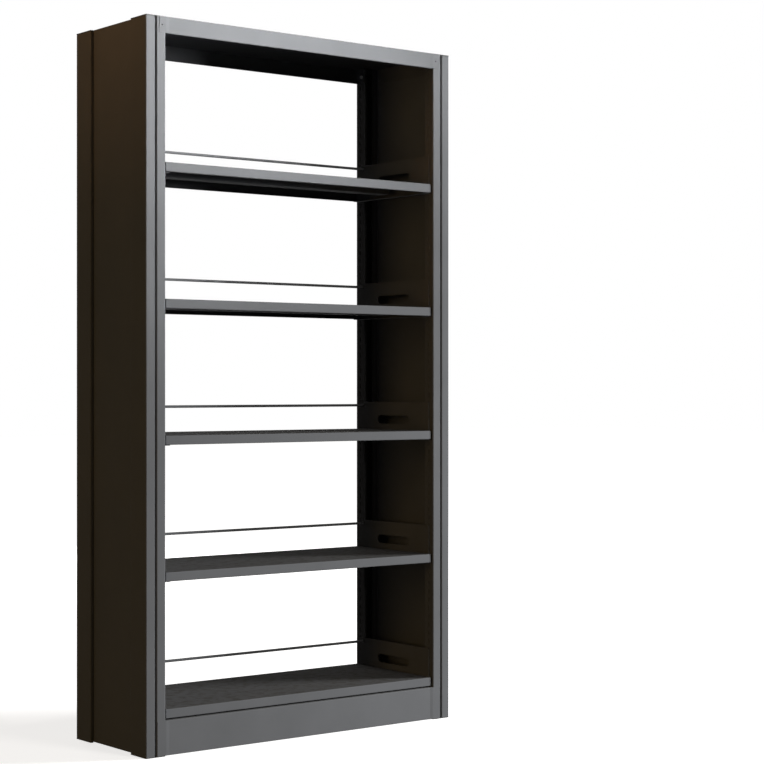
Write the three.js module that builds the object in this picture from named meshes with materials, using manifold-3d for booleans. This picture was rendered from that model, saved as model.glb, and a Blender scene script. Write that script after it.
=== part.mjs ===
// A free-standing steel library bay, open at the front and the back: two end frames of folded posts
// with a recessed panel between them, a pan top, two kick plates and five full-depth shelves that
// hang on hooked end brackets, each with a stop rod near the rear.
// Millimetres, +Z up. The origin is the middle of the footprint on the floor, and the front faces -Y.
import * as THREE from "three";
import { mergeGeometries, mergeVertices } from "three/addons/utils/BufferGeometryUtils.js";
import Module from "manifold-3d";

const wasm = await Module();
wasm.setup();

// The bay
const HEIGHT = 2025;
const CLEAR_WIDTH = 950; // between the inner faces of the posts
const DEPTH = 384; // over the faces of the posts
const SHELF_COUNT = 5;

// Fits
const SEAT = 0.3; // between faces that rest or bolt together
const BEND_RADIUS = 1; // inside radius of every fold
const BEND_STEPS = 2;
const SAME_POINT = 0.0001;

// Posts: one folded strip, with a groove down the face and a row of slots down the inner side
const POST_SHEET = 1.5;
const POST_WIDTH = 62;
const POST_INNER_DEPTH = 40;
const POST_OUTER_DEPTH = 82;
const POST_LIP = 9;
const PANEL_RECESS = 10; // from the posts' outer sides in to the end panel
const WELD_FLANGE = 12;
const GROOVE_WIDTH = 7;
const GROOVE_FLOOR = 4;
const GROOVE_DEPTH = 5;
const SLOT_PITCH = 25;
const SLOT_HEIGHT = 14;
const SLOT_WIDTH = 4;
const SLOT_INSET = 19; // middle of the row from the post's face

// Plastic caps and feet
const CAP_THICKNESS = 3;
const FOOT_THICKNESS = 2;
const PLUG_LENGTH = 15;
const PLUG_CLEARANCE = 0.5;

// Sheet pieces of the frame
const SHEET = 1.2;
const PANEL_FLANGE = 22;
const PANEL_GAP = 4; // from the posts' lips to the panel's flanges
const FASCIA_HEIGHT = 46;
const FASCIA_RETURN = 12;
const KICK_TOP = 98;
const KICK_RETURN = 14;
const TAB_DEPTH = 38; // bolting tabs at the ends of the top and the kick plates
const TAB_MARGIN = 4;

// Bolts and nuts
const BOLT_DIAMETER = 6;
const BOLT_SIDES = 8;
const BOLT_HEAD_HEIGHT = 4;
const BOLT_TAIL = 2;
const NUT_HEIGHT = 5;
const HEX_ACROSS = 10;
const HEX_SIDES = 6;
const HOLE_CLEARANCE = 1; // on the diameter
const BOLT_INSET = 30; // from the post's face

// Shelves
const KICK_GAP = 4; // from the kick plate up to the lip of the lowest shelf
const SHELF_LIP = 26;
const SHELF_RETURN = 12;
const SHELF_INSET = 5; // behind the posts' faces
const SHELF_END_GAP = 2.5;
const STIFFENER_TOP = 90;
const STIFFENER_MOUTH = 56;
const STIFFENER_FLOOR = 44;
const STIFFENER_DROP = 18;
const STIFFENER_END_GAP = 10; // from the bracket flanges

// End brackets
const BRACKET_SHEET = 2;
const BRACKET_GAP = 0.5; // from the posts' inner faces
const BRACKET_RISE = 86; // above the shelf
const BRACKET_FLANGE = 25;
const BRACKET_OVERLAP = 6; // height of the bent strip that the flange shares with the plate
const BRACKET_CORNER = 6;
const CORNER_STEPS = 3;
const HAND_SLOT_LENGTH = 157;
const HAND_SLOT_HEIGHT = 26;
const HAND_SLOT_RISE = 31; // its middle above the shelf
const HAND_SLOT_STEPS = 6;
const HOOK_COUNT = 3;
const HOOK_RISE = 3; // lowest hook's slot above the shelf
const HOOK_NECK = 5;
const HOOK_PLAY = 0.8; // behind the post's wall
const HOOK_TIP = 3.5;
const HOOK_DROP = 8;

// Stop rods
const ROD_DIAMETER = 8;
const ROD_SPIGOT = 5;
const ROD_SIDES = 8;
const ROD_RISE = 75; // above the shelf
const ROD_FROM_REAR = 38;

// Worked out from the sizes above
const postFront = -DEPTH / 2;
const postFace = CLEAR_WIDTH / 2;
const postLength = HEIGHT - CAP_THICKNESS - FOOT_THICKNESS;
const panelFace = POST_WIDTH - PANEL_RECESS;
const panelStart = POST_INNER_DEPTH + PANEL_GAP;
const spanLength = CLEAR_WIDTH - 2 * SEAT;
const tabFace = postFace - SEAT;
const baseShelfTop = KICK_TOP + KICK_GAP + SHELF_LIP;
const shelfSlots = Math.round((HEIGHT - FASCIA_HEIGHT - baseShelfTop) / SHELF_COUNT / SLOT_PITCH);
const bracketFace = postFace - BRACKET_GAP;
const bracketBack = bracketFace - BRACKET_SHEET;
const bracketEnd = DEPTH / 2 - SLOT_INSET + BRACKET_SHEET / 2;
const bracketBottom = -SHELF_LIP - SEAT - BRACKET_SHEET;
const shelfHalf = bracketBack - SHELF_END_GAP;
const rodY = DEPTH / 2 - ROD_FROM_REAR;
const topBoltZ = HEIGHT - CAP_THICKNESS - PLUG_LENGTH - HEX_ACROSS;
const kickBoltZ = (FOOT_THICKNESS + KICK_TOP) / 2;
const hexCorners = HEX_ACROSS / Math.cos(Math.PI / HEX_SIDES);

const charcoalPaint = new THREE.MeshStandardMaterial({ color: 0x4b4d50, roughness: 0.55, metalness: 0.15 });
const rodPaint = new THREE.MeshStandardMaterial({ color: 0x3c3e40, roughness: 0.45, metalness: 0.2 });
const blackPlastic = new THREE.MeshStandardMaterial({ color: 0x2a2b2c, roughness: 0.7, metalness: 0 });
const zincSteel = new THREE.MeshStandardMaterial({ color: 0xa8abad, roughness: 0.4, metalness: 0.9 });

const alongX = new THREE.Matrix4().makeBasis(
  new THREE.Vector3(0, 1, 0),
  new THREE.Vector3(0, 0, 1),
  new THREE.Vector3(1, 0, 0),
);
const alongY = new THREE.Matrix4().makeBasis(
  new THREE.Vector3(1, 0, 0),
  new THREE.Vector3(0, 0, 1),
  new THREE.Vector3(0, -1, 0),
);

function solidOf(geometry) {
  const bare = geometry.index ? geometry.toNonIndexed() : geometry.clone();
  bare.deleteAttribute("normal");
  bare.deleteAttribute("uv");
  const merged = mergeVertices(bare, SAME_POINT);
  return new wasm.Manifold(
    new wasm.Mesh({
      numProp: 3,
      vertProperties: merged.attributes.position.array,
      triVerts: new Uint32Array(merged.index.array),
    }),
  );
}

function geometryOf(solid) {
  const { vertProperties, triVerts } = solid.getMesh();
  const geometry = new THREE.BufferGeometry();
  geometry.setAttribute("position", new THREE.BufferAttribute(vertProperties, 3));
  geometry.setIndex(new THREE.BufferAttribute(triVerts, 1));
  return geometry;
}

function join(geometries) {
  const solids = geometries.map(solidOf);
  return geometryOf(solids.reduce((whole, next) => whole.add(next)));
}

// Cuts tools that don't touch each other out of a piece.
function cut(geometry, tools) {
  const bare = tools.map((tool) => (tool.index ? tool.toNonIndexed() : tool));
  return geometryOf(solidOf(geometry).subtract(solidOf(mergeGeometries(bare))));
}

// Outline of a folded sheet: the path is its outer face, and the sheet lies to the left of the path.
function foldedSheet(path, sheet) {
  const points = path.map(([x, y]) => new THREE.Vector2(x, y));
  const outer = [];
  const inner = [];
  points.forEach((point, i) => {
    const before = i > 0 ? point.clone().sub(points[i - 1]).normalize() : null;
    const after = i < points.length - 1 ? points[i + 1].clone().sub(point).normalize() : null;
    const heading = before ?? after;
    const left = new THREE.Vector2(-heading.y, heading.x);
    if (!before || !after) {
      outer.push(point);
      inner.push(point.clone().addScaledVector(left, sheet));
      return;
    }
    const turn = Math.atan2(before.cross(after), before.dot(after));
    const side = Math.sign(turn);
    const radius = side > 0 ? BEND_RADIUS + sheet : BEND_RADIUS;
    const start = point.clone().addScaledVector(before, -radius * Math.tan(Math.abs(turn) / 2));
    const centre = start.clone().addScaledVector(left, side * radius);
    for (let step = 0; step <= BEND_STEPS; step++) {
      const spoke = start.clone().sub(centre);
      spoke.rotateAround(new THREE.Vector2(), (turn * step) / BEND_STEPS);
      outer.push(centre.clone().add(spoke));
      inner.push(centre.clone().addScaledVector(spoke, (radius - side * sheet) / radius));
    }
  });
  return new THREE.Shape([...outer, ...inner.reverse()]);
}

// Extrudes an outline drawn in YZ along X, or one drawn in XZ along Y, about the origin.
function extrudeMiddle(shape, length, direction) {
  const geometry = new THREE.ExtrudeGeometry(shape, { depth: length, bevelEnabled: false });
  return geometry.translate(0, 0, -length / 2).applyMatrix4(direction);
}

function extrudeUp(shape, length) {
  return new THREE.ExtrudeGeometry(shape, { depth: length, bevelEnabled: false });
}

function outline(points) {
  return new THREE.Shape(points.map(([x, y]) => new THREE.Vector2(x, y)));
}

// A box from its lowest to its highest corner.
function block([x0, y0, z0], [x1, y1, z1]) {
  const box = new THREE.BoxGeometry(x1 - x0, y1 - y0, z1 - z0);
  return box.translate((x0 + x1) / 2, (y0 + y1) / 2, (z0 + z1) / 2);
}

// A round or hexagonal bar along X, from one end to the other.
function barX(diameter, sides, from, to) {
  const bar = new THREE.CylinderGeometry(diameter / 2, diameter / 2, to - from, sides);
  return bar.rotateZ(Math.PI / 2).translate((from + to) / 2, 0, 0);
}

function arc(centreY, centreZ, radius, from, to, steps) {
  return Array.from({ length: steps + 1 }, (_, i) => {
    const angle = from + ((to - from) * i) / steps;
    return [centreY + radius * Math.cos(angle), centreZ + radius * Math.sin(angle)];
  });
}

// The front right post. The bottom edges of its slots match the hooks of the brackets.
function postGeometry() {
  const grooveMiddle = POST_WIDTH / 2;
  const section = foldedSheet(
    [
      [POST_LIP, POST_INNER_DEPTH],
      [0, POST_INNER_DEPTH],
      [0, 0],
      [grooveMiddle - GROOVE_WIDTH / 2, 0],
      [grooveMiddle - GROOVE_FLOOR / 2, GROOVE_DEPTH],
      [grooveMiddle + GROOVE_FLOOR / 2, GROOVE_DEPTH],
      [grooveMiddle + GROOVE_WIDTH / 2, 0],
      [POST_WIDTH, 0],
      [POST_WIDTH, POST_OUTER_DEPTH],
      [panelFace, POST_OUTER_DEPTH],
      [panelFace, POST_OUTER_DEPTH - WELD_FLANGE],
    ],
    POST_SHEET,
  );
  const post = extrudeUp(section, postLength).translate(postFace, postFront, FOOT_THICKNESS);
  const slotMiddle = postFront + SLOT_INSET;
  const firstSlot = baseShelfTop + HOOK_RISE - SLOT_PITCH;
  const lastSlot = HEIGHT - FASCIA_HEIGHT - SLOT_HEIGHT;
  const tools = [];
  for (let z = firstSlot; z <= lastSlot; z += SLOT_PITCH) {
    tools.push(
      block(
        [postFace - POST_SHEET, slotMiddle - SLOT_WIDTH / 2, z],
        [postFace + 2 * POST_SHEET, slotMiddle + SLOT_WIDTH / 2, z + SLOT_HEIGHT],
      ),
    );
  }
  for (const z of [topBoltZ, kickBoltZ]) {
    tools.push(boltHole(postFace - POST_SHEET, postFace + 2 * POST_SHEET, z));
  }
  return cut(post, tools);
}

function boltHole(from, to, z) {
  const hole = barX(BOLT_DIAMETER + HOLE_CLEARANCE, BOLT_SIDES, from, to);
  return hole.translate(0, postFront + BOLT_INSET, z);
}

// A plate over the end of a post with a plug below it: the plate starts at z = 0 and goes up. It
// reaches over the slit beside the post, as far as the end panel's flange.
function postPlugGeometry(thickness) {
  const legStart = panelFace + SEAT;
  const plateEnd = panelStart - SEAT;
  const plate = outline([
    [0, 0],
    [POST_WIDTH, 0],
    [POST_WIDTH, POST_OUTER_DEPTH],
    [legStart, POST_OUTER_DEPTH],
    [legStart, plateEnd],
    [0, plateEnd],
  ]);
  const wall = POST_SHEET + PLUG_CLEARANCE;
  const plug = block(
    [wall, GROOVE_DEPTH + wall, -PLUG_LENGTH],
    [POST_WIDTH - wall, POST_INNER_DEPTH - wall, thickness / 2],
  );
  return join([extrudeUp(plate, thickness), plug]).translate(postFace, postFront, 0);
}

// The right end panel: a tall tray whose flanges stand inwards beside the posts' lips.
function endPanelGeometry() {
  const face = panelFace - SEAT;
  const section = foldedSheet(
    [
      [face - PANEL_FLANGE, panelStart],
      [face, panelStart],
      [face, DEPTH - panelStart],
      [face - PANEL_FLANGE, DEPTH - panelStart],
    ],
    SHEET,
  );
  const panel = extrudeUp(section, HEIGHT - FOOT_THICKNESS);
  return panel.translate(postFace, postFront, FOOT_THICKNESS);
}

// A tray section with its open side down, drawn in YZ with its top at z = 0.
function traySection(halfDepth, height, lipReturn) {
  return foldedSheet(
    [
      [halfDepth - lipReturn, -height],
      [halfDepth, -height],
      [halfDepth, 0],
      [-halfDepth, 0],
      [-halfDepth, -height],
      [-halfDepth + lipReturn, -height],
    ],
    SHEET,
  );
}

// A tab across one end of a front or rear sheet, which bolts to the post beside it.
function boltTab(sideX, sideY, bottom, top) {
  const [x0, x1] = [tabFace - SHEET, tabFace].map((x) => x * sideX).sort((a, b) => a - b);
  const [y0, y1] = [DEPTH / 2 - TAB_DEPTH, DEPTH / 2 - SHEET / 2]
    .map((y) => y * sideY)
    .sort((a, b) => a - b);
  return block([x0, y0, bottom], [x1, y1, top]);
}

// The top: a tray between the posts whose wings fill the end frames, with its top at z = 0.
function topPanelGeometry() {
  const wingReach = postFace + panelFace - 2 * SEAT - SHEET;
  const wingDepth = DEPTH - 2 * (panelStart + SHEET + SEAT);
  const wings = foldedSheet(
    [
      [wingReach, -FASCIA_HEIGHT],
      [wingReach, 0],
      [-wingReach, 0],
      [-wingReach, -FASCIA_HEIGHT],
    ],
    SHEET,
  );
  const tray = traySection(DEPTH / 2, FASCIA_HEIGHT, FASCIA_RETURN);
  const pieces = [extrudeMiddle(tray, spanLength, alongX), extrudeMiddle(wings, wingDepth, alongY)];
  const holes = [];
  for (const [, sideX, sideY] of corners) {
    pieces.push(boltTab(sideX, -sideY, TAB_MARGIN - FASCIA_HEIGHT, -SHEET / 2));
    const hole = boltHole(tabFace - 2 * SHEET, tabFace + SHEET, topBoltZ - HEIGHT);
    holes.push(mirrored(hole, sideX, sideY));
  }
  return cut(join(pieces), holes);
}

// The front kick plate.
function kickPlateGeometry() {
  const section = foldedSheet(
    [
      [postFront + KICK_RETURN, KICK_TOP],
      [postFront, KICK_TOP],
      [postFront, FOOT_THICKNESS],
      [postFront + KICK_RETURN, FOOT_THICKNESS],
    ],
    SHEET,
  );
  const pieces = [extrudeMiddle(section, spanLength, alongX)];
  const holes = [];
  for (const sideX of [-1, 1]) {
    pieces.push(boltTab(sideX, -1, FOOT_THICKNESS + TAB_MARGIN, KICK_TOP - TAB_MARGIN));
    holes.push(mirrored(boltHole(tabFace - 2 * SHEET, tabFace + SHEET, kickBoltZ), sideX, 1));
  }
  return cut(join(pieces), holes);
}

// A front right shape turned or mirrored to another corner of the bay.
function mirrored(geometry, sideX, sideY) {
  const turned = geometry.index ? geometry.toNonIndexed() : geometry.clone();
  turned.scale(sideX, sideY, 1);
  if (sideX * sideY < 0) {
    const { array } = turned.attributes.position;
    for (let i = 0; i < array.length; i += 9) {
      const second = array.slice(i + 3, i + 6);
      array.copyWithin(i + 3, i + 6, i + 9);
      array.set(second, i + 6);
    }
  }
  return turned;
}

// A hexagon-head bolt through a tab and the post's inner side, its nut behind.
function boltGeometry() {
  const headBack = tabFace - SHEET - SEAT;
  const tailEnd = postFace + POST_SHEET + SEAT + NUT_HEIGHT + BOLT_TAIL;
  const head = barX(hexCorners, HEX_SIDES, headBack - BOLT_HEAD_HEIGHT, headBack);
  const shank = barX(BOLT_DIAMETER, BOLT_SIDES, headBack - BOLT_HEAD_HEIGHT / 2, tailEnd);
  return join([head, shank]);
}

function nutGeometry() {
  const start = postFace + POST_SHEET + SEAT;
  const body = barX(hexCorners, HEX_SIDES, start, start + NUT_HEIGHT);
  const bore = barX(BOLT_DIAMETER + HOLE_CLEARANCE, BOLT_SIDES, start - SEAT, start + NUT_HEIGHT + SEAT);
  return cut(body, [bore]);
}

// A shelf: a tray with all four sides turned down, its top at z = 0.
function shelfGeometry() {
  const halfDepth = DEPTH / 2 - SHELF_INSET;
  const tray = extrudeMiddle(traySection(halfDepth, SHELF_LIP, SHELF_RETURN), 2 * shelfHalf, alongX);
  const inside = halfDepth - SHEET / 2;
  const ends = [-1, 1].map((side) => {
    const [x0, x1] = [side * shelfHalf, side * (shelfHalf - SHEET)].sort((a, b) => a - b);
    return block([x0, -inside, -SHELF_LIP + SHEET / 2], [x1, inside, -SHEET / 2]);
  });
  return join([tray, ...ends]);
}

// A hat channel under the middle of a shelf.
function stiffenerGeometry() {
  const flange = -SHEET - SEAT - SHEET;
  const section = foldedSheet(
    [
      [-STIFFENER_TOP / 2, flange],
      [-STIFFENER_MOUTH / 2, flange],
      [-STIFFENER_FLOOR / 2, flange - STIFFENER_DROP],
      [STIFFENER_FLOOR / 2, flange - STIFFENER_DROP],
      [STIFFENER_MOUTH / 2, flange],
      [STIFFENER_TOP / 2, flange],
    ],
    SHEET,
  );
  const half = bracketBack - BRACKET_FLANGE - STIFFENER_END_GAP;
  return extrudeMiddle(section, 2 * half, alongX);
}

// The right end bracket of a shelf whose top is at z = 0: a plate with a hand slot and a rod hole,
// a flange under the shelf, and tabs at both ends bent outwards into hooks.
function bracketGeometry() {
  const corner = BRACKET_CORNER;
  const plate = outline([
    [-bracketEnd, bracketBottom + BRACKET_SHEET + BEND_RADIUS],
    [bracketEnd, bracketBottom + BRACKET_SHEET + BEND_RADIUS],
    ...arc(bracketEnd - corner, BRACKET_RISE - corner, corner, 0, Math.PI / 2, CORNER_STEPS),
    ...arc(-bracketEnd + corner, BRACKET_RISE - corner, corner, Math.PI / 2, Math.PI, CORNER_STEPS),
  ]);
  const slotRadius = HAND_SLOT_HEIGHT / 2;
  const slotReach = HAND_SLOT_LENGTH / 2 - slotRadius;
  const handSlot = outline([
    ...arc(slotReach, HAND_SLOT_RISE, slotRadius, -Math.PI / 2, Math.PI / 2, HAND_SLOT_STEPS),
    ...arc(-slotReach, HAND_SLOT_RISE, slotRadius, Math.PI / 2, (3 * Math.PI) / 2, HAND_SLOT_STEPS),
  ]);
  const rodHole = (ROD_SPIGOT + HOLE_CLEARANCE) / 2;
  const rodCircle = arc(rodY, ROD_RISE, rodHole, 0, 2 * Math.PI, ROD_SIDES).slice(0, -1);
  plate.holes.push(handSlot, outline(rodCircle));
  const flange = foldedSheet(
    [
      [bracketFace - BRACKET_FLANGE, bracketBottom],
      [bracketFace, bracketBottom],
      [bracketFace, bracketBottom + BRACKET_OVERLAP],
    ],
    BRACKET_SHEET,
  );
  const pieces = [
    extrudeMiddle(plate, BRACKET_SHEET, alongX).translate(bracketFace - BRACKET_SHEET / 2, 0, 0),
    extrudeMiddle(flange, 2 * bracketEnd, alongY),
  ];
  const hook = extrudeMiddle(hookOutline(), BRACKET_SHEET, alongY);
  for (let i = 0; i < HOOK_COUNT; i++) {
    const z = HOOK_RISE + SEAT + i * SLOT_PITCH;
    for (const side of [-1, 1]) {
      pieces.push(hook.clone().translate(0, side * (bracketEnd - BRACKET_SHEET / 2), z));
    }
  }
  return join(pieces);
}

// A hook in XZ, its neck resting at z = 0 and its tip hanging behind the post's wall.
function hookOutline() {
  const root = bracketFace - BRACKET_SHEET / 2;
  const back = postFace + POST_SHEET + HOOK_PLAY;
  const tip = back + HOOK_TIP;
  return outline([
    [root, 0],
    [back, 0],
    [back, -HOOK_DROP],
    [back + HOOK_TIP / 2, -HOOK_DROP],
    [tip, -HOOK_DROP / 2],
    [tip, HOOK_NECK],
    [root, HOOK_NECK],
  ]);
}

// A stop rod with turned-down ends in the holes of two brackets.
function rodGeometry() {
  const body = bracketBack - SEAT;
  const end = bracketFace;
  const profile = [
    [0, -end],
    [ROD_SPIGOT / 2, -end],
    [ROD_SPIGOT / 2, -body],
    [ROD_DIAMETER / 2, -body],
    [ROD_DIAMETER / 2, body],
    [ROD_SPIGOT / 2, body],
    [ROD_SPIGOT / 2, end],
    [0, end],
  ].map(([radius, along]) => new THREE.Vector2(radius, along));
  return new THREE.LatheGeometry(profile, ROD_SIDES).rotateZ(-Math.PI / 2);
}

const corners = [
  ["front_left", -1, 1],
  ["front_right", 1, 1],
  ["rear_left", -1, -1],
  ["rear_right", 1, -1],
];

function piece(parent, name, geometry, material) {
  const mesh = new THREE.Mesh(geometry, material);
  mesh.name = name;
  parent.add(mesh);
  return mesh;
}

// End frames: posts with their caps and feet, and the panels between them
function addEndFrames(bay) {
  const post = postGeometry();
  const cap = postPlugGeometry(CAP_THICKNESS);
  const foot = postPlugGeometry(FOOT_THICKNESS);
  for (const [corner, sideX, sideY] of corners) {
    const place = new THREE.Group();
    place.scale.set(sideX, sideY, 1);
    bay.add(place);
    piece(place, `${corner}_post`, post, charcoalPaint);
    piece(place, `${corner}_cap`, cap, blackPlastic).position.z = HEIGHT - CAP_THICKNESS;
    const glide = piece(place, `${corner}_foot`, foot, blackPlastic);
    glide.position.z = FOOT_THICKNESS;
    glide.scale.z = -1;
  }
  const panel = endPanelGeometry();
  piece(bay, "right_end_panel", panel, charcoalPaint);
  piece(bay, "left_end_panel", panel, charcoalPaint).scale.x = -1;
}

// What ties the end frames together, and the bolts that hold it
function addTies(bay) {
  piece(bay, "top_panel", topPanelGeometry(), charcoalPaint).position.z = HEIGHT;
  const kick = kickPlateGeometry();
  piece(bay, "front_kick_plate", kick, charcoalPaint);
  piece(bay, "rear_kick_plate", kick, charcoalPaint).rotation.z = Math.PI;
  const bolt = boltGeometry();
  const nut = nutGeometry();
  for (const [corner, sideX, sideY] of corners) {
    const place = new THREE.Group();
    place.scale.set(sideX, sideY, 1);
    bay.add(place);
    for (const [where, z] of [["top", topBoltZ], ["kick", kickBoltZ]]) {
      piece(place, `${corner}_${where}_bolt`, bolt, zincSteel).position.set(0, postFront + BOLT_INSET, z);
      piece(place, `${corner}_${where}_nut`, nut, zincSteel).position.set(0, postFront + BOLT_INSET, z);
    }
  }
}

// Five shelves, numbered from the floor, each hung by two brackets and carrying its rod
function addShelves(bay) {
  const shelf = shelfGeometry();
  const stiffener = stiffenerGeometry();
  const bracket = bracketGeometry();
  const rod = rodGeometry();
  for (let i = 0; i < SHELF_COUNT; i++) {
    const level = new THREE.Group();
    level.position.z = baseShelfTop + i * shelfSlots * SLOT_PITCH;
    bay.add(level);
    const name = `shelf_${i + 1}`;
    piece(level, name, shelf, charcoalPaint);
    piece(level, `${name}_stiffener`, stiffener, charcoalPaint);
    piece(level, `${name}_right_bracket`, bracket, charcoalPaint);
    piece(level, `${name}_left_bracket`, bracket, charcoalPaint).scale.x = -1;
    piece(level, `${name}_rod`, rod, rodPaint).position.set(0, rodY, ROD_RISE);
  }
}

const bay = new THREE.Group();
bay.name = "library_bay";
addEndFrames(bay);
addTies(bay);
addShelves(bay);

export default bay;
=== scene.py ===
"""A free-standing charcoal steel library bay with hook-on shelves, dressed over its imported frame."""
import math

import bmesh
import bpy
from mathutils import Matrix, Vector


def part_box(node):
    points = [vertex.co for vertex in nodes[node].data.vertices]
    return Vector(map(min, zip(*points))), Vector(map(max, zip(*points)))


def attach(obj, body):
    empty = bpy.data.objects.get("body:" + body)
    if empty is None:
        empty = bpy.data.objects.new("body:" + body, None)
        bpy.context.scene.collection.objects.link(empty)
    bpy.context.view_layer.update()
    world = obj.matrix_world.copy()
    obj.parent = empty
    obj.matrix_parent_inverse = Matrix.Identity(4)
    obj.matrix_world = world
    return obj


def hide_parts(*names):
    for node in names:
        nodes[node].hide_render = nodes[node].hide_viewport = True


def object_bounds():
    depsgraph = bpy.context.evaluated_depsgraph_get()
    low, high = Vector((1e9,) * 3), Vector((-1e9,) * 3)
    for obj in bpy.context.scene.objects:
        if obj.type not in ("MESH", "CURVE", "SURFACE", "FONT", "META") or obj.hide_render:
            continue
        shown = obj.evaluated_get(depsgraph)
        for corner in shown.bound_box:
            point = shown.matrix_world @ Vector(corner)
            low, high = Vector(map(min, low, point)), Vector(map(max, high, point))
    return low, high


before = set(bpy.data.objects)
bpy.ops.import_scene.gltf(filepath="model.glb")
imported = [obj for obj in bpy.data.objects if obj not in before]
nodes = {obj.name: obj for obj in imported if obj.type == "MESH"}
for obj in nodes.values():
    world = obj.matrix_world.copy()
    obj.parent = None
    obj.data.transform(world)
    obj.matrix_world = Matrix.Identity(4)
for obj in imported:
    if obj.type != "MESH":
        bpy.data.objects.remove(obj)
cad_box = [list(corner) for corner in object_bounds()]

# The camera stands level, about half the bay's height up and well to the left of its front, so that
# uprights stay parallel. Its distance is measured from the front left corner of the bay on the floor.
CAMERA_ASIDE = 0.6409
CAMERA_AWAY = 5.2215
CAMERA_HEIGHT = 1.011
CAMERA_TURN = math.radians(38.1)
CAMERA_LENS = 90.6
CAMERA_RISE = 0.0065
corner = Vector((cad_box[0][0], cad_box[0][1], 0))
ahead = Vector((math.sin(CAMERA_TURN), math.cos(CAMERA_TURN), 0))
rightward = Vector((math.cos(CAMERA_TURN), -math.sin(CAMERA_TURN), 0))
camera = bpy.data.objects.new("camera", bpy.data.cameras.new("camera"))
camera.location = corner + CAMERA_ASIDE * rightward - CAMERA_AWAY * ahead
camera.location.z = CAMERA_HEIGHT
camera.rotation_euler = ahead.to_track_quat("-Z", "Y").to_euler()
camera.data.lens = CAMERA_LENS
camera.data.shift_y = CAMERA_RISE
bpy.context.collection.objects.link(camera)
scene = bpy.context.scene
scene.camera = camera
scene.view_settings.view_transform = "Standard"


# The studio is a pale floor under an even sky that looks white. The key light stands far off at the
# front right, with a gridded light on the fascia and a fill in front of the bay. Weak warm lights on
# the left keep the left end dark, and one light behind the bay reaches in through its open back.
class Value:
    """A shader socket: arithmetic on it adds Math nodes, and node() adds any other node."""

    def __init__(self, tree, socket=None):
        self.tree = tree
        self.socket = socket

    def node(self, kind, settings=None, inputs=None, output=0):
        made = self.tree.nodes.new(kind)
        for name, setting in (settings or {}).items():
            if name == "stops":
                self.set_stops(made.color_ramp, setting)
            else:
                setattr(made, name, setting)
        for name, given in (inputs or {}).items():
            if isinstance(given, Value):
                self.tree.links.new(given.socket, made.inputs[name])
            else:
                made.inputs[name].default_value = given
        return Value(self.tree, made.outputs[output] if made.outputs else None)

    @staticmethod
    def set_stops(ramp, stops):
        while len(ramp.elements) < len(stops):
            ramp.elements.new(1.0)
        for element, (place, level) in zip(ramp.elements, stops):
            element.position = place
            element.color = (level, level, level, 1.0)

    def maths(self, operation, first, second):
        return self.node("ShaderNodeMath", {"operation": operation}, {0: first, 1: second})

    def __add__(self, other):
        return self.maths("ADD", self, other)

    def __sub__(self, other):
        return self.maths("SUBTRACT", self, other)

    def __rsub__(self, other):
        return self.maths("SUBTRACT", other, self)

    def __mul__(self, other):
        return self.maths("MULTIPLY", self, other)

    __radd__ = __add__
    __rmul__ = __mul__

    def noise(self, place, scale, detail, roughness=0.5):
        inputs = {"Vector": place, "Scale": scale, "Detail": detail, "Roughness": roughness}
        return self.node("ShaderNodeTexNoise", {"noise_dimensions": "3D"}, inputs)

    def steps(self, *stops):
        return self.node("ShaderNodeValToRGB", {"stops": stops}, {"Fac": self})

    def mix(self, first, second):
        """Goes from one colour to another. Mix has like-named sockets, so they are numbered here."""
        inputs = {0: self, 6: first, 7: second}
        return self.node("ShaderNodeMix", {"data_type": "RGBA"}, inputs, output=2)


def new_material(name):
    material = bpy.data.materials.new(name)
    material.use_nodes = True
    material.node_tree.nodes.clear()
    return material, Value(material.node_tree)


def show(start, shader):
    start.node("ShaderNodeOutputMaterial", inputs={"Surface": shader})


def seen_directly(start):
    """One for what the camera sees, also by mirroring or through glass, and nought for light."""
    camera_ray = start.node("ShaderNodeLightPath", output="Is Camera Ray")
    glossy_ray = start.node("ShaderNodeLightPath", output="Is Glossy Ray")
    through_ray = start.node("ShaderNodeLightPath", output="Is Transmission Ray")
    return camera_ray + glossy_ray + through_ray


SKY_LIGHT = (0.045, 0.035, 0.024, 1.0)
SKY_WHITE = (1.0, 1.0, 1.0, 1.0)
world = bpy.data.worlds.new("studio_sky")
world.use_nodes = True
world.node_tree.nodes.clear()
sky = Value(world.node_tree)
sky_colour = seen_directly(sky).mix(SKY_LIGHT, SKY_WHITE)
sky_glow = sky.node("ShaderNodeBackground", inputs={"Color": sky_colour, "Strength": 1.0})
sky.node("ShaderNodeOutputWorld", inputs={"Surface": sky_glow})
scene.world = world

FLOOR_GREY = (0.04, 0.04, 0.04, 1.0)
FLOOR_WHITE = (0.80, 0.80, 0.80, 1.0)
FLOOR_HALF = 30.0
GLOW_NEAR = 0.75
GLOW_FAR = 1.0
GLOW_NEAR_END = 1.5
GLOW_FAR_START = 7.0
floor_mesh = bpy.data.meshes.new("floor")
floor_corners = [(-FLOOR_HALF, -FLOOR_HALF, 0), (FLOOR_HALF, -FLOOR_HALF, 0)]
floor_corners += [(FLOOR_HALF, FLOOR_HALF, 0), (-FLOOR_HALF, FLOOR_HALF, 0)]
floor_mesh.from_pydata(floor_corners, [], [(0, 1, 2, 3)])
floor = bpy.data.objects.new("floor", floor_mesh)
bpy.context.collection.objects.link(floor)
floor_paint, start = new_material("floor_paint")
floor_shade = start.node("ShaderNodeBsdfDiffuse", inputs={"Color": FLOOR_GREY})
floor_bright = start.node("ShaderNodeBsdfDiffuse", inputs={"Color": FLOOR_WHITE})
place = start.node("ShaderNodeTexCoord", output="Object")
away = start.node("ShaderNodeVectorMath", {"operation": "LENGTH"}, {0: place}, output="Value")
near_stop = (GLOW_NEAR_END / FLOOR_HALF, GLOW_NEAR)
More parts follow.
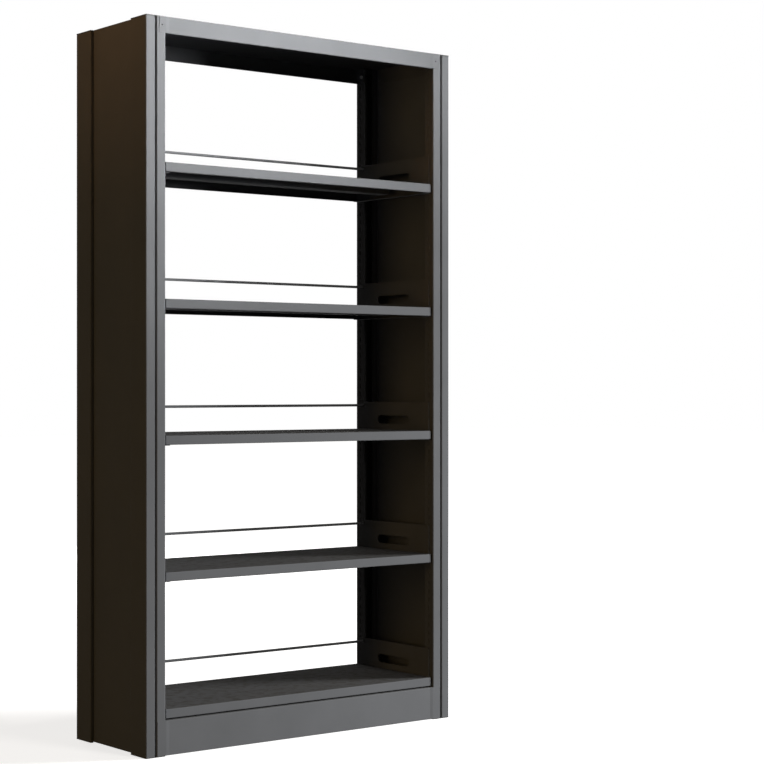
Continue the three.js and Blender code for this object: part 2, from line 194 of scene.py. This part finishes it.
far_stop = (GLOW_FAR_START / FLOOR_HALF, GLOW_FAR)
fade = (away * (1 / FLOOR_HALF)).steps(near_stop, far_stop)
floor_glow = start.node("ShaderNodeEmission", inputs={"Color": fade, "Strength": 1.0})
floor_seen = start.node("ShaderNodeAddShader", inputs={0: floor_bright, 1: floor_glow})
floor_inputs = {0: seen_directly(start), 1: floor_shade, 2: floor_seen}
show(start, start.node("ShaderNodeMixShader", inputs=floor_inputs))
floor_mesh.materials.append(floor_paint)

OPEN_SPREAD = math.radians(180)
GRID_SPREAD = math.radians(36)


def soft_box(name, place, target, size, power, colour, spread=OPEN_SPREAD):
    lamp = bpy.data.lights.new(name, "AREA")
    lamp.shape = "RECTANGLE"
    lamp.size = size[0]
    lamp.size_y = size[1]
    lamp.energy = power
    lamp.spread = spread
    lamp.color = colour
    stand = bpy.data.objects.new(name, lamp)
    stand.location = place
    stand.rotation_euler = (Vector(target) - Vector(place)).to_track_quat("-Z", "Y").to_euler()
    bpy.context.collection.objects.link(stand)


soft_box(
    "key_box",
    place=(7.7, -3.8, 1.8),
    target=(0.0, -0.1, 1.0),
    size=(2.2, 1.0),
    power=1680,
    colour=(0.98, 0.99, 1.0),
)
soft_box(
    "top_box",
    place=(1.9, -2.6, 2.5),
    target=(-0.45, -0.19, 2.15),
    size=(0.6, 0.4),
    power=17,
    colour=(1.0, 1.0, 1.0),
    spread=GRID_SPREAD,
)
soft_box(
    "front_box",
    place=(0.9, -5.0, 2.1),
    target=(0.0, 0.0, 1.0),
    size=(1.2, 0.4),
    power=75,
    colour=(1.0, 0.97, 0.93),
)
soft_box(
    "left_box",
    place=(-6.0, -1.65, 1.1),
    target=(-0.5, 0.0, 1.0),
    size=(0.8, 3.4),
    power=54,
    colour=(1.0, 0.65, 0.25),
)
soft_box(
    "left_top_box",
    place=(-2.4, -0.3, 2.7),
    target=(-0.54, -0.05, 2.2),
    size=(0.4, 0.4),
    power=0.5,
    colour=(1.0, 0.5, 0.2),
    spread=GRID_SPREAD,
)
soft_box(
    "rear_box",
    place=(1.2, 6.5, 0.8),
    target=(0.0, 0.1, 1.0),
    size=(2.4, 0.8),
    power=150,
    colour=(1.0, 0.98, 0.95),
)


# Four corner posts, each rolled from one strip of steel: a groove down the face, slots down the inner
# side and a set-back flange on the outer side. They carry everything else. Like all the painted steel
# they have a charcoal powder coat, satin, with a fine orange peel and thinner, paler paint at edges.
CHARCOAL = (0.112, 0.115, 0.121, 1.0)
CHARCOAL_LOW = (0.100, 0.103, 0.108, 1.0)
EDGE_GREY = (0.16, 0.163, 0.168, 1.0)
DUST_GREY = (0.19, 0.185, 0.175, 1.0)
PEEL_SCALE = 650.0
PEEL_DETAIL = 1.0
PEEL_HEIGHT = 0.00006
PEEL_STRENGTH = 0.5
MOTTLE_SCALE = 5.0
MOTTLE_DETAIL = 4.0
MOTTLE_ROUGHNESS = 0.6
MOTTLE_STOPS = ((0.3, 0.0), (0.7, 1.0))
MOTTLE_DULLS = 0.10
SCUFF_SCALE = 38.0
SCUFF_DETAIL = 6.0
SCUFF_ROUGHNESS = 0.65
SCUFF_STOPS = ((0.46, 0.0), (0.72, 1.0))
SCUFF_DULLS = 0.05
UPWARD_STOPS = ((0.6, 0.0), (0.95, 1.0))
DUST_DULLS = 0.12
EVEN_DUST_AND_SHADE = 0.45
EDGE_WIDTH = 0.0012
EDGE_SAMPLES = 4
EDGE_STOPS = ((0.01, 0.0), (0.16, 1.0))
EVEN_WEAR = 0.35


def powder_coat(name, dust_and_shade_amount, wear, rough, sheen, dust_and_shade_colour=DUST_GREY):
    material, start = new_material(name)
    place = start.node("ShaderNodeTexCoord", output="Object")
    peel = start.noise(place, PEEL_SCALE, PEEL_DETAIL)
    mottle = start.noise(place, MOTTLE_SCALE, MOTTLE_DETAIL, MOTTLE_ROUGHNESS)
    scuff = start.noise(place, SCUFF_SCALE, SCUFF_DETAIL, SCUFF_ROUGHNESS).steps(*SCUFF_STOPS)
    facing = start.node("ShaderNodeNewGeometry", output="Normal")
    upward = start.node("ShaderNodeSeparateXYZ", inputs={"Vector": facing}, output="Z")
    upward = upward.steps(*UPWARD_STOPS)
    softened = start.node("ShaderNodeBevel", {"samples": EDGE_SAMPLES}, {"Radius": EDGE_WIDTH})
    bend_inputs = {0: softened, 1: facing}
    bend = start.node("ShaderNodeVectorMath", {"operation": "DOT_PRODUCT"}, bend_inputs, "Value")
    edge = (1.0 - bend).steps(*EDGE_STOPS)
    worn = edge * wear * (EVEN_WEAR + (1.0 - EVEN_WEAR) * scuff)
    # The up-facing mask lays settled dust on most coats, and on the shelf tops a painted shade in a
    # darker, browner tone.
    dust_and_shade_mask = upward * dust_and_shade_amount * (EVEN_DUST_AND_SHADE + (1.0 - EVEN_DUST_AND_SHADE) * scuff)
    colour = mottle.steps(*MOTTLE_STOPS).mix(CHARCOAL_LOW, CHARCOAL)
    colour = worn.mix(colour, EDGE_GREY)
    colour = dust_and_shade_mask.mix(colour, dust_and_shade_colour)
    roughness = rough + MOTTLE_DULLS * mottle + DUST_DULLS * upward * dust_and_shade_amount + SCUFF_DULLS * scuff
    bump = start.node(
        "ShaderNodeBump",
        inputs={"Strength": PEEL_STRENGTH, "Distance": PEEL_HEIGHT, "Height": peel},
    )
    paint = start.node(
        "ShaderNodeBsdfPrincipled",
        inputs={
            "Base Color": colour,
            "Roughness": roughness,
            "Specular IOR Level": sheen,
            "Normal": bump,
        },
    )
    show(start, paint)
    return material


EDGE_ROUND = 0.0004
ROUND_FROM = math.radians(18)
ROUND_SEGMENTS = 2
SAME_POINT = 0.000002


def join_points(piece):
    """Merges points that lie in one place."""
    weld = piece.modifiers.new("weld", "WELD")
    weld.merge_threshold = SAME_POINT


def round_edges(piece, radius):
    """Rounds the sharp edges that cutting and folding left."""
    rounded = piece.modifiers.new("round", "BEVEL")
    rounded.width = radius
    rounded.segments = ROUND_SEGMENTS
    rounded.limit_method = "ANGLE"
    rounded.angle_limit = ROUND_FROM
    rounded.use_clamp_overlap = True


def dress(name, material, radius=EDGE_ROUND):
    """Gives a frame node its finish, and joins its faces so that its edges can be rounded."""
    piece = nodes[name]
    piece.data.materials.clear()
    piece.data.materials.append(material)
    join_points(piece)
    round_edges(piece, radius)
    join_points(piece)


CORNERS = ("front_left", "front_right", "rear_left", "rear_right")
post_coat = powder_coat("post_coat", dust_and_shade_amount=0.2, wear=0.5, rough=0.55, sheen=0.01)
for corner_name in CORNERS:
    dress(f"{corner_name}_post", post_coat)


# A moulded plastic plug closes each end of a post: a cap at the top and a foot on the floor. They are
# dark grey polypropylene with a fine spark-eroded grain, pushed in by hand.
PLASTIC = (0.045, 0.046, 0.048, 1.0)
PLASTIC_PALE = (0.06, 0.06, 0.062, 1.0)
PLASTIC_ROUGHNESS = 0.58
PLASTIC_SHEEN = 0.0
GRAIN_SCALE = 900.0
GRAIN_DETAIL = 2.0
GRAIN_HEIGHT = 0.00008
GRAIN_STRENGTH = 0.6
GRAIN_DULLS = 0.15
CLOUD_SCALE = 20.0
CLOUD_DETAIL = 3.0
plug_plastic, start = new_material("plug_plastic")
place = start.node("ShaderNodeTexCoord", output="Object")
grain = start.noise(place, GRAIN_SCALE, GRAIN_DETAIL)
cloud = start.noise(place, CLOUD_SCALE, CLOUD_DETAIL)
moulded = start.node(
    "ShaderNodeBump",
    inputs={"Strength": GRAIN_STRENGTH, "Distance": GRAIN_HEIGHT, "Height": grain},
)
plastic = start.node(
    "ShaderNodeBsdfPrincipled",
    inputs={
        "Base Color": cloud.mix(PLASTIC, PLASTIC_PALE),
        "Roughness": PLASTIC_ROUGHNESS + GRAIN_DULLS * grain,
        "Specular IOR Level": PLASTIC_SHEEN,
        "Normal": moulded,
    },
)
show(start, plastic)
PLUG_ROUND = 0.0008
for corner_name in CORNERS:
    dress(f"{corner_name}_cap", plug_plastic, PLUG_ROUND)
    dress(f"{corner_name}_foot", plug_plastic, PLUG_ROUND)


# Each end panel is a tall tray of thin sheet, spot welded to the set-back flanges of its two posts.
# The welds show from inside the bay as two rows of shallow round pips.
WELD_RADIUS = 0.004
WELD_HEIGHT = 0.0003
WELD_SINK = 0.0002
WELD_RINGS = (1.0, 0.8, 0.4)
WELD_SIDES = 16
PANEL_SHEET = 0.0012
PANEL_WELD_PITCH = 0.1
PANEL_WELD_FROM_FACE = 0.076
panel_coat = powder_coat("panel_coat", dust_and_shade_amount=0.2, wear=0.35, rough=0.55, sheen=0.01)


def skin_rings(mesh, rings, closed=False):
    """Joins like rings end to end, with flat ends, or into a tube that closes on itself."""
    sides = len(rings[0])
    pairs = list(zip(rings, rings[1:]))
    if closed:
        pairs.append((rings[-1], rings[0]))
    for near, far in pairs:
        for i in range(sides):
            after = (i + 1) % sides
            mesh.faces.new((near[i], near[after], far[after], far[i]))
    if not closed:
        mesh.faces.new(list(reversed(rings[0])))
        mesh.faces.new(rings[-1])


def add_pip(mesh, centre, outward, radius=WELD_RADIUS, height=WELD_HEIGHT):
    """Adds a low dome, such as a weld pip, that starts just under the sheet's surface."""
    turn = outward.to_track_quat("Z", "Y")
    rings = []
    for share in WELD_RINGS:
        lift = -WELD_SINK + (height + WELD_SINK) * math.sqrt(1.0 - share * share)
        ring = []
        for i in range(WELD_SIDES):
            angle = 2 * math.pi * i / WELD_SIDES
            spot = Vector((math.cos(angle), math.sin(angle), 0)) * radius * share
            spot.z = lift
            ring.append(mesh.verts.new(centre + turn @ spot))
        rings.append(ring)
    skin_rings(mesh, rings)


def finish_piece(name, mesh, material, body):
    """Makes an object of a bmesh, smooth, in its finish, riding on its body."""
    data = bpy.data.meshes.new(name)
    mesh.to_mesh(data)
    mesh.free()
    data.shade_smooth()
    data.materials.append(material)
    piece = bpy.data.objects.new(name, data)
    bpy.context.collection.objects.link(piece)
    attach(piece, body)
    return piece


for side, inward in (("left", 1), ("right", -1)):
    panel_name = f"{side}_end_panel"
    dress(panel_name, panel_coat)
    low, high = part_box(panel_name)
    skin = low[0] + PANEL_SHEET if inward > 0 else high[0] - PANEL_SHEET
    welds = bmesh.new()
    for row in (cad_box[0][1] + PANEL_WELD_FROM_FACE, cad_box[1][1] - PANEL_WELD_FROM_FACE):
        for i in range(1, int(high[2] / PANEL_WELD_PITCH)):
            add_pip(welds, Vector((skin, row, i * PANEL_WELD_PITCH)), Vector((inward, 0, 0)))
    finish_piece(f"{panel_name}_welds", welds, panel_coat, "frame")


# The top is an open pan and the kick plates are channels, each folded from one sheet and bolted to the
# posts through tabs at its ends. Dust lies on the top, and shoes have thinned the kick plates' edges.
top_coat = powder_coat("top_coat", dust_and_shade_amount=0.6, wear=0.5, rough=0.6, sheen=0.0)
kick_coat = powder_coat("kick_coat", dust_and_shade_amount=0.3, wear=0.8, rough=0.5, sheen=0.03)
dress("top_panel", top_coat)
dress("front_kick_plate", kick_coat)
dress("rear_kick_plate", kick_coat)


# At each end the fascias of the top and the kick plates carry a joggled tongue of the same sheet that
# laps onto the post's face and hides the seam beside it. A dark push rivet holds each upper tongue.
LAP_PROUD = 0.0008
LAP_SINK = 0.0006
LAP_MARGIN = 0.0006
JOGGLE_START = -0.012
JOGGLE_END = -0.002
FASCIA_LAP_LENGTH = 0.020
FASCIA_HEIGHT = 0.046
KICK_LAP_LENGTH = 0.026
RIVET_RADIUS = 0.0028
RIVET_HEIGHT = 0.0009
lap_coat = powder_coat("lap_coat", dust_and_shade_amount=0.2, wear=0.5, rough=0.55, sheen=0.01)


def add_lap(name, edge, outward, length, bottom, top):
    """Adds a tongue that leaves the sheet at the joggle and ends on the post, past the post's edge."""
    outline = [(JOGGLE_START, -LAP_SINK), (JOGGLE_START, 0.0), (JOGGLE_END, LAP_PROUD)]
    outline += [(length, LAP_PROUD), (length, -LAP_SINK)]
    mesh = bmesh.new()
    rings = []
    for z in (bottom + LAP_MARGIN, top - LAP_MARGIN):
        ring = []
        for along, proud in outline:
            x = edge.x + outward.x * along
            y = edge.y + outward.y * proud
            ring.append(mesh.verts.new((x, y, z)))
        rings.append(ring)
    skin_rings(mesh, rings)
    bmesh.ops.recalc_face_normals(mesh, faces=mesh.faces)
    tongue = finish_piece(name, mesh, lap_coat, "frame")
    tongue.data.shade_flat()
    round_edges(tongue, EDGE_ROUND)


for corner_name in CORNERS:
    end, side = corner_name.split("_")
    low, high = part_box(f"{corner_name}_post")
    outward = Vector((1 if side == "right" else -1, 1 if end == "rear" else -1))
    edge = Vector((low[0] if side == "right" else high[0], high[1] if end == "rear" else low[1]))
    fascia_top = cad_box[1][2]
    fascia_bottom = fascia_top - FASCIA_HEIGHT
    fascia_name = f"{corner_name}_fascia"
    add_lap(f"{fascia_name}_lap", edge, outward, FASCIA_LAP_LENGTH, fascia_bottom, fascia_top)
    kick_low, kick_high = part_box(f"{end}_kick_plate")
    kick_name = f"{corner_name}_kick"
    add_lap(f"{kick_name}_lap", edge, outward, KICK_LAP_LENGTH, kick_low[2], kick_high[2])
    rivet = bmesh.new()
    seat_x = edge.x + outward.x * FASCIA_LAP_LENGTH / 2
    seat_y = edge.y + outward.y * LAP_PROUD
    seat = Vector((seat_x, seat_y, (fascia_bottom + fascia_top) / 2))
    add_pip(rivet, seat, Vector((0, outward.y, 0)), RIVET_RADIUS, RIVET_HEIGHT)
    finish_piece(f"{fascia_name}_rivet", rivet, plug_plastic, "frame")


# Zinc-plated hexagon bolts and nuts, with chamfered corners and a fine thread, hold the tabs of the
# top and the kick plates against the inner sides of the posts.
ZINC = (0.50, 0.51, 0.53, 1.0)
ZINC_DULL = (0.36, 0.37, 0.38, 1.0)
ZINC_METAL = 0.95
ZINC_ROUGHNESS = 0.28
BLOOM_SCALE = 220.0
BLOOM_DETAIL = 4.0
BLOOM_DULLS = 0.25
zinc_plate, start = new_material("zinc_plate")
place = start.node("ShaderNodeTexCoord", output="Object")
bloom = start.noise(place, BLOOM_SCALE, BLOOM_DETAIL)
zinc = start.node(
    "ShaderNodeBsdfPrincipled",
    inputs={
        "Base Color": bloom.mix(ZINC, ZINC_DULL),
        "Metallic": ZINC_METAL,
        "Roughness": ZINC_ROUGHNESS + BLOOM_DULLS * bloom,
    },
)
show(start, zinc)
SHANK_RADIUS = 0.003
SHANK_SIDES = 24
HEAD_HEIGHT = 0.004
THREAD_PITCH = 0.001
THREAD_DEPTH = 0.0003
HEX_SIDES = 6
CHAMFER = 0.0006
CHAMFER_REACH = 1.04
CREASE = math.radians(30)


def ring_at(mesh, x, centre, reaches):
    """Adds a ring of points round the X axis, one for each reach, starting over the centre."""
    ring = []
    for i, reach in enumerate(reaches):
        angle = 2 * math.pi * i / len(reaches)
        y = centre.y + reach * math.sin(angle)
        z = centre.z + reach * math.cos(angle)
        ring.append(mesh.verts.new((x, y, z)))
    return ring


def round_ring(mesh, x, centre, radius, sides=SHANK_SIDES):
    return ring_at(mesh, x, centre, [radius] * sides)


def hexagon_reaches(across, limit):
    """How far a hexagon's outline lies from its centre, with its corners cut back to a limit."""
    half_side = math.pi / HEX_SIDES
    reaches = []
    for i in range(SHANK_SIDES):
        angle = 2 * math.pi * i / SHANK_SIDES
        from_flat = (angle + half_side) % (2 * half_side) - half_side
        reaches.append(min(across / 2 / math.cos(from_flat), limit))
    return reaches


def hexagon_rings(mesh, centre, start_x, end_x, across):
    """The rings of a hexagonal bar with its corners turned down at both ends."""
    chamfer = math.copysign(CHAMFER, end_x - start_x)
    full = hexagon_reaches(across, across)
    turned = hexagon_reaches(across, across / 2 * CHAMFER_REACH)
    stations = [(start_x, turned), (start_x + chamfer, full)]
    stations += [(end_x - chamfer, full), (end_x, turned)]
    return [ring_at(mesh, x, centre, reaches) for x, reaches in stations]


def bolt_mesh(low, high, outward):
    """A bolt along X: its head at the bay's side and its threaded shank towards the post."""
    mesh = bmesh.new()
    centre = (low + high) / 2
    across = high.y - low.y
    head = low.x if outward > 0 else high.x
    tail = high.x if outward > 0 else low.x
    seat = head + outward * HEAD_HEIGHT
    skin_rings(mesh, hexagon_rings(mesh, centre, head, seat, across))
    turns = int(abs(tail - seat) / THREAD_PITCH)
    shank = [round_ring(mesh, seat - outward * CHAMFER, centre, SHANK_RADIUS)]
    for i in range(turns * 2):
        depth = THREAD_DEPTH if i % 2 else 0.0
        x = seat + outward * THREAD_PITCH * i / 2
        shank.append(round_ring(mesh, x, centre, SHANK_RADIUS - depth))
    shank.append(round_ring(mesh, tail, centre, SHANK_RADIUS - THREAD_DEPTH * 2))
    skin_rings(mesh, shank)
    bmesh.ops.recalc_face_normals(mesh, faces=mesh.faces)
    return mesh


def nut_mesh(low, high):
    """A nut along X: a chamfered hexagon round a plain bore."""
    mesh = bmesh.new()
    centre = (low + high) / 2
    across = high.y - low.y
    rings = hexagon_rings(mesh, centre, low.x, high.x, across)
    bore = SHANK_RADIUS + THREAD_DEPTH
    rings += [round_ring(mesh, x, centre, bore) for x in (high.x, low.x)]
    skin_rings(mesh, rings, closed=True)
    bmesh.ops.recalc_face_normals(mesh, faces=mesh.faces)
    return mesh


for corner_name in CORNERS:
    for where in ("top", "kick"):
        bolt_name = f"{corner_name}_{where}_bolt"
        low, high = (Vector(point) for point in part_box(bolt_name))
        threaded = bolt_mesh(low, high, outward=1 if low.x > 0 else -1)
        bolt = finish_piece(f"{bolt_name}_threaded", threaded, zinc_plate, "frame")
        bolt.data.set_sharp_from_angle(angle=CREASE)
        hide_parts(bolt_name)
        nut_name = f"{corner_name}_{where}_nut"
        low, high = (Vector(point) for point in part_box(nut_name))
        chamfered = nut_mesh(low, high)
        nut = finish_piece(f"{nut_name}_chamfered", chamfered, zinc_plate, "frame")
        nut.data.set_sharp_from_angle(angle=CREASE)
        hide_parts(nut_name)


# Five shelves, each a pan of folded sheet with a hat channel spot welded under its middle. Their tops
# are painted a darker, browner tone where they face up: painted shade, for the shade under the shelf
# above.
# Painted shade for the shelf tops: a darker, browner colour standing in for the shade under the shelf
# above.
SHELF_TOP_PAINTED_SHADE = (0.040, 0.034, 0.026, 1.0)
SHELF_COUNT = 5
STIFFENER_SHEET = 0.0012
STIFFENER_WELD_PITCH = 0.09
STIFFENER_WELD_INSET = 0.0085
LEVELS = [f"shelf_{i + 1}" for i in range(SHELF_COUNT)]
shelf_coat = powder_coat(
    "shelf_coat",
    dust_and_shade_amount=0.8,
    wear=0.7,
    rough=0.6,
    sheen=0.005,
    dust_and_shade_colour=SHELF_TOP_PAINTED_SHADE,
)
for level in LEVELS:
    dress(level, shelf_coat)
    dress(f"{level}_stiffener", shelf_coat)
    low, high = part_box(f"{level}_stiffener")
    under = high[2] - STIFFENER_SHEET
    count = int((high[0] - low[0]) / STIFFENER_WELD_PITCH)
    first = -STIFFENER_WELD_PITCH * (count - 1) / 2
    welds = bmesh.new()
    for row in (low[1] + STIFFENER_WELD_INSET, high[1] - STIFFENER_WELD_INSET):
        for i in range(count):
            spot = Vector((first + i * STIFFENER_WELD_PITCH, row, under))
            add_pip(welds, spot, Vector((0, 0, -1)))
    finish_piece(f"{level}_welds", welds, shelf_coat, f"{level}_level")


# Ten end brackets, pressed plates with a hand slot, a flange under the shelf and hooks at both ends
# that hang in the posts' slots. Their paint is rubbed at the hooks and round the slot.
bracket_coat = powder_coat("bracket_coat", dust_and_shade_amount=0.2, wear=0.8, rough=0.55, sheen=0.01)
for level in LEVELS:
    for side in ("left", "right"):
        dress(f"{level}_{side}_bracket", bracket_coat)


# One stop rod to a shelf, near the rear: round drawn bar, turned down at both ends to sit in the
# holes of the brackets, in the same charcoal but a little glossier.
ROD_SIDES = 32
ROD_EDGE = 0.0006
SPIGOT_SHARE = 0.625
SPIGOT_LENGTH = 0.0023
rod_coat = powder_coat("rod_coat", dust_and_shade_amount=0.1, wear=0.3, rough=0.4, sheen=0.08)


def rod_mesh(low, high):
    """A round bar along X with turned-down, chamfered ends."""
    mesh = bmesh.new()
    centre = (low + high) / 2
    radius = (high.z - low.z) / 2
    half = (high.x - low.x) / 2
    body = half - SPIGOT_LENGTH
    spigot = radius * SPIGOT_SHARE
    right_end = [(body - ROD_EDGE, radius), (body, radius - ROD_EDGE)]
    right_end += [(body, spigot), (half - ROD_EDGE, spigot), (half, spigot - ROD_EDGE)]
    left_end = [(-x, reach) for x, reach in reversed(right_end)]
    stations = left_end + right_end
    rings = [round_ring(mesh, x, centre, reach, ROD_SIDES) for x, reach in stations]
    skin_rings(mesh, rings)
    bmesh.ops.recalc_face_normals(mesh, faces=mesh.faces)
    return mesh


for level in LEVELS:
    rod_name = f"{level}_rod"
    low, high = (Vector(point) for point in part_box(rod_name))
    bar = rod_mesh(low, high)
    rod = finish_piece(f"{level}_round_rod", bar, rod_coat, f"{level}_level")
    rod.data.set_sharp_from_angle(angle=CREASE)
    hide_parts(rod_name)
